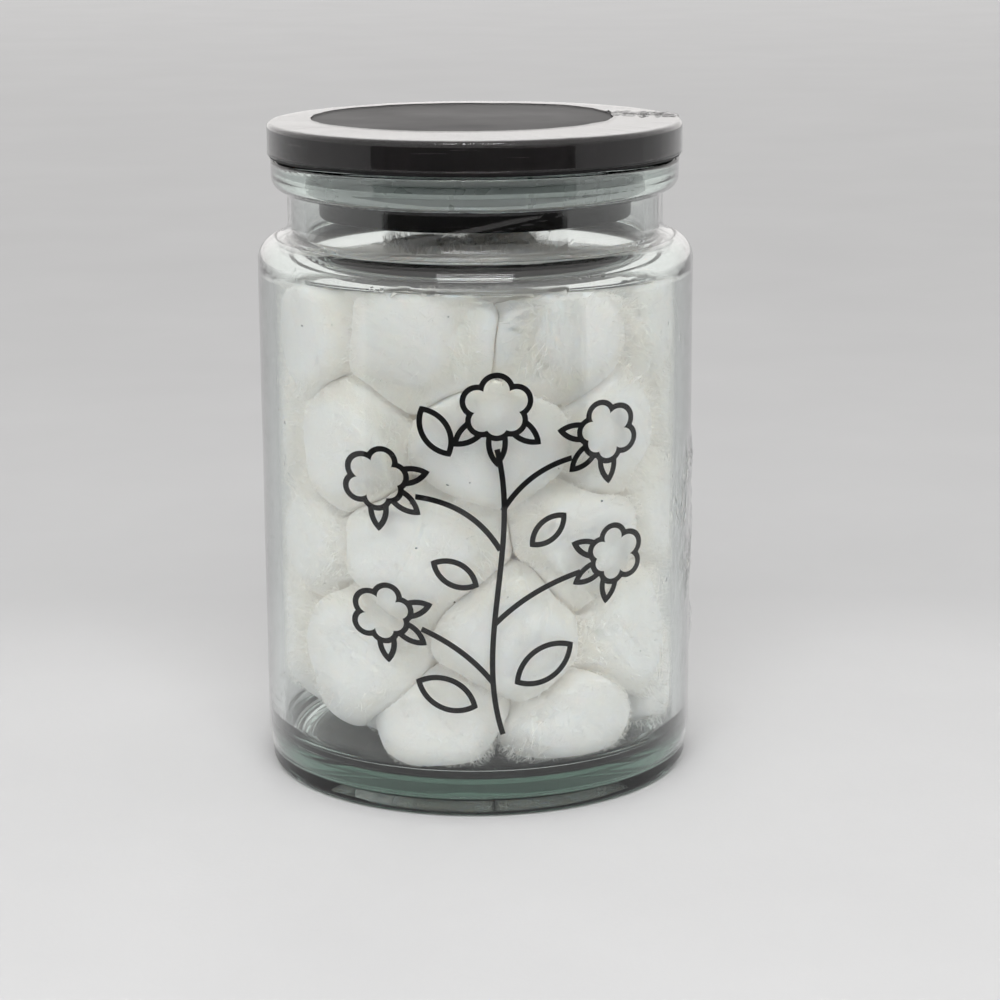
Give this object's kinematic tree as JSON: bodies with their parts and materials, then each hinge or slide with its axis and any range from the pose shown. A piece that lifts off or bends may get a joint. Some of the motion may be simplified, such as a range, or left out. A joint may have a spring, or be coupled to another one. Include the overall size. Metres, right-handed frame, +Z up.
{
  "type": "apothecary jar",
  "caption": "Clear glass apothecary jar of cotton balls with a push-in black wooden lid, a silicone seal, a line-drawn print on the front and a clear shrink film.",
  "frame": {"origin": "centre of the base, on the surface that the jar stands on", "axes": "+Z up along the jar's axis through the lid; the printed front faces -Y and +X is to its right as seen from the front"},
  "size_m": [0.1024, 0.1024, 0.1537],
  "materials": {
    "clear_glass": "gloss",
    "black_wood": "satin",
    "clear_silicone": "satin",
    "black_print": "satin",
    "shrink_film": "gloss",
    "cotton": "matte"
  },
  "bodies": {
    "jar": {"glass_jar": "clear_glass", "front_decal": "black_print", "jar_film": "shrink_film", "cotton_ball_01": "cotton", "cotton_ball_02": "cotton", "cotton_ball_03": "cotton", "cotton_ball_04": "cotton", "cotton_ball_05": "cotton", "cotton_ball_06": "cotton", "cotton_ball_07": "cotton", "cotton_ball_08": "cotton", "cotton_ball_09": "cotton", "cotton_ball_10": "cotton", "cotton_ball_11": "cotton", "cotton_ball_12": "cotton", "cotton_ball_13": "cotton", "cotton_ball_14": "cotton", "cotton_ball_15": "cotton", "cotton_ball_16": "cotton", "cotton_ball_17": "cotton", "cotton_ball_18": "cotton", "cotton_ball_19": "cotton", "cotton_ball_20": "cotton", "cotton_ball_21": "cotton", "cotton_ball_22": "cotton", "cotton_ball_23": "cotton", "cotton_ball_24": "cotton", "cotton_ball_25": "cotton", "cotton_ball_26": "cotton", "cotton_ball_27": "cotton", "cotton_ball_28": "cotton", "cotton_ball_29": "cotton", "cotton_ball_30": "cotton", "cotton_ball_31": "cotton", "cotton_ball_32": "cotton", "cotton_ball_33": "cotton", "cotton_ball_34": "cotton", "cotton_ball_35": "cotton", "cotton_ball_36": "cotton", "cotton_ball_37": "cotton", "cotton_ball_38": "cotton", "cotton_ball_39": "cotton", "cotton_ball_40": "cotton", "cotton_ball_41": "cotton"},
    "seal": {"lid_seal": "clear_silicone"},
    "lid": {"lid_disc": "black_wood", "lid_plug": "black_wood", "lid_film": "shrink_film"}
  },
  "joints": [
    {"name": "lid_lift", "type": "slide", "parent": "jar", "child": "seal", "axis": [0, 0, 1], "range_m": [0, 0.06]},
    {"name": "lid_turn", "type": "hinge", "parent": "seal", "child": "lid", "pos_m": [0, 0, 0.1456], "axis": [0, 0, 1], "continuous": true}
  ]
}
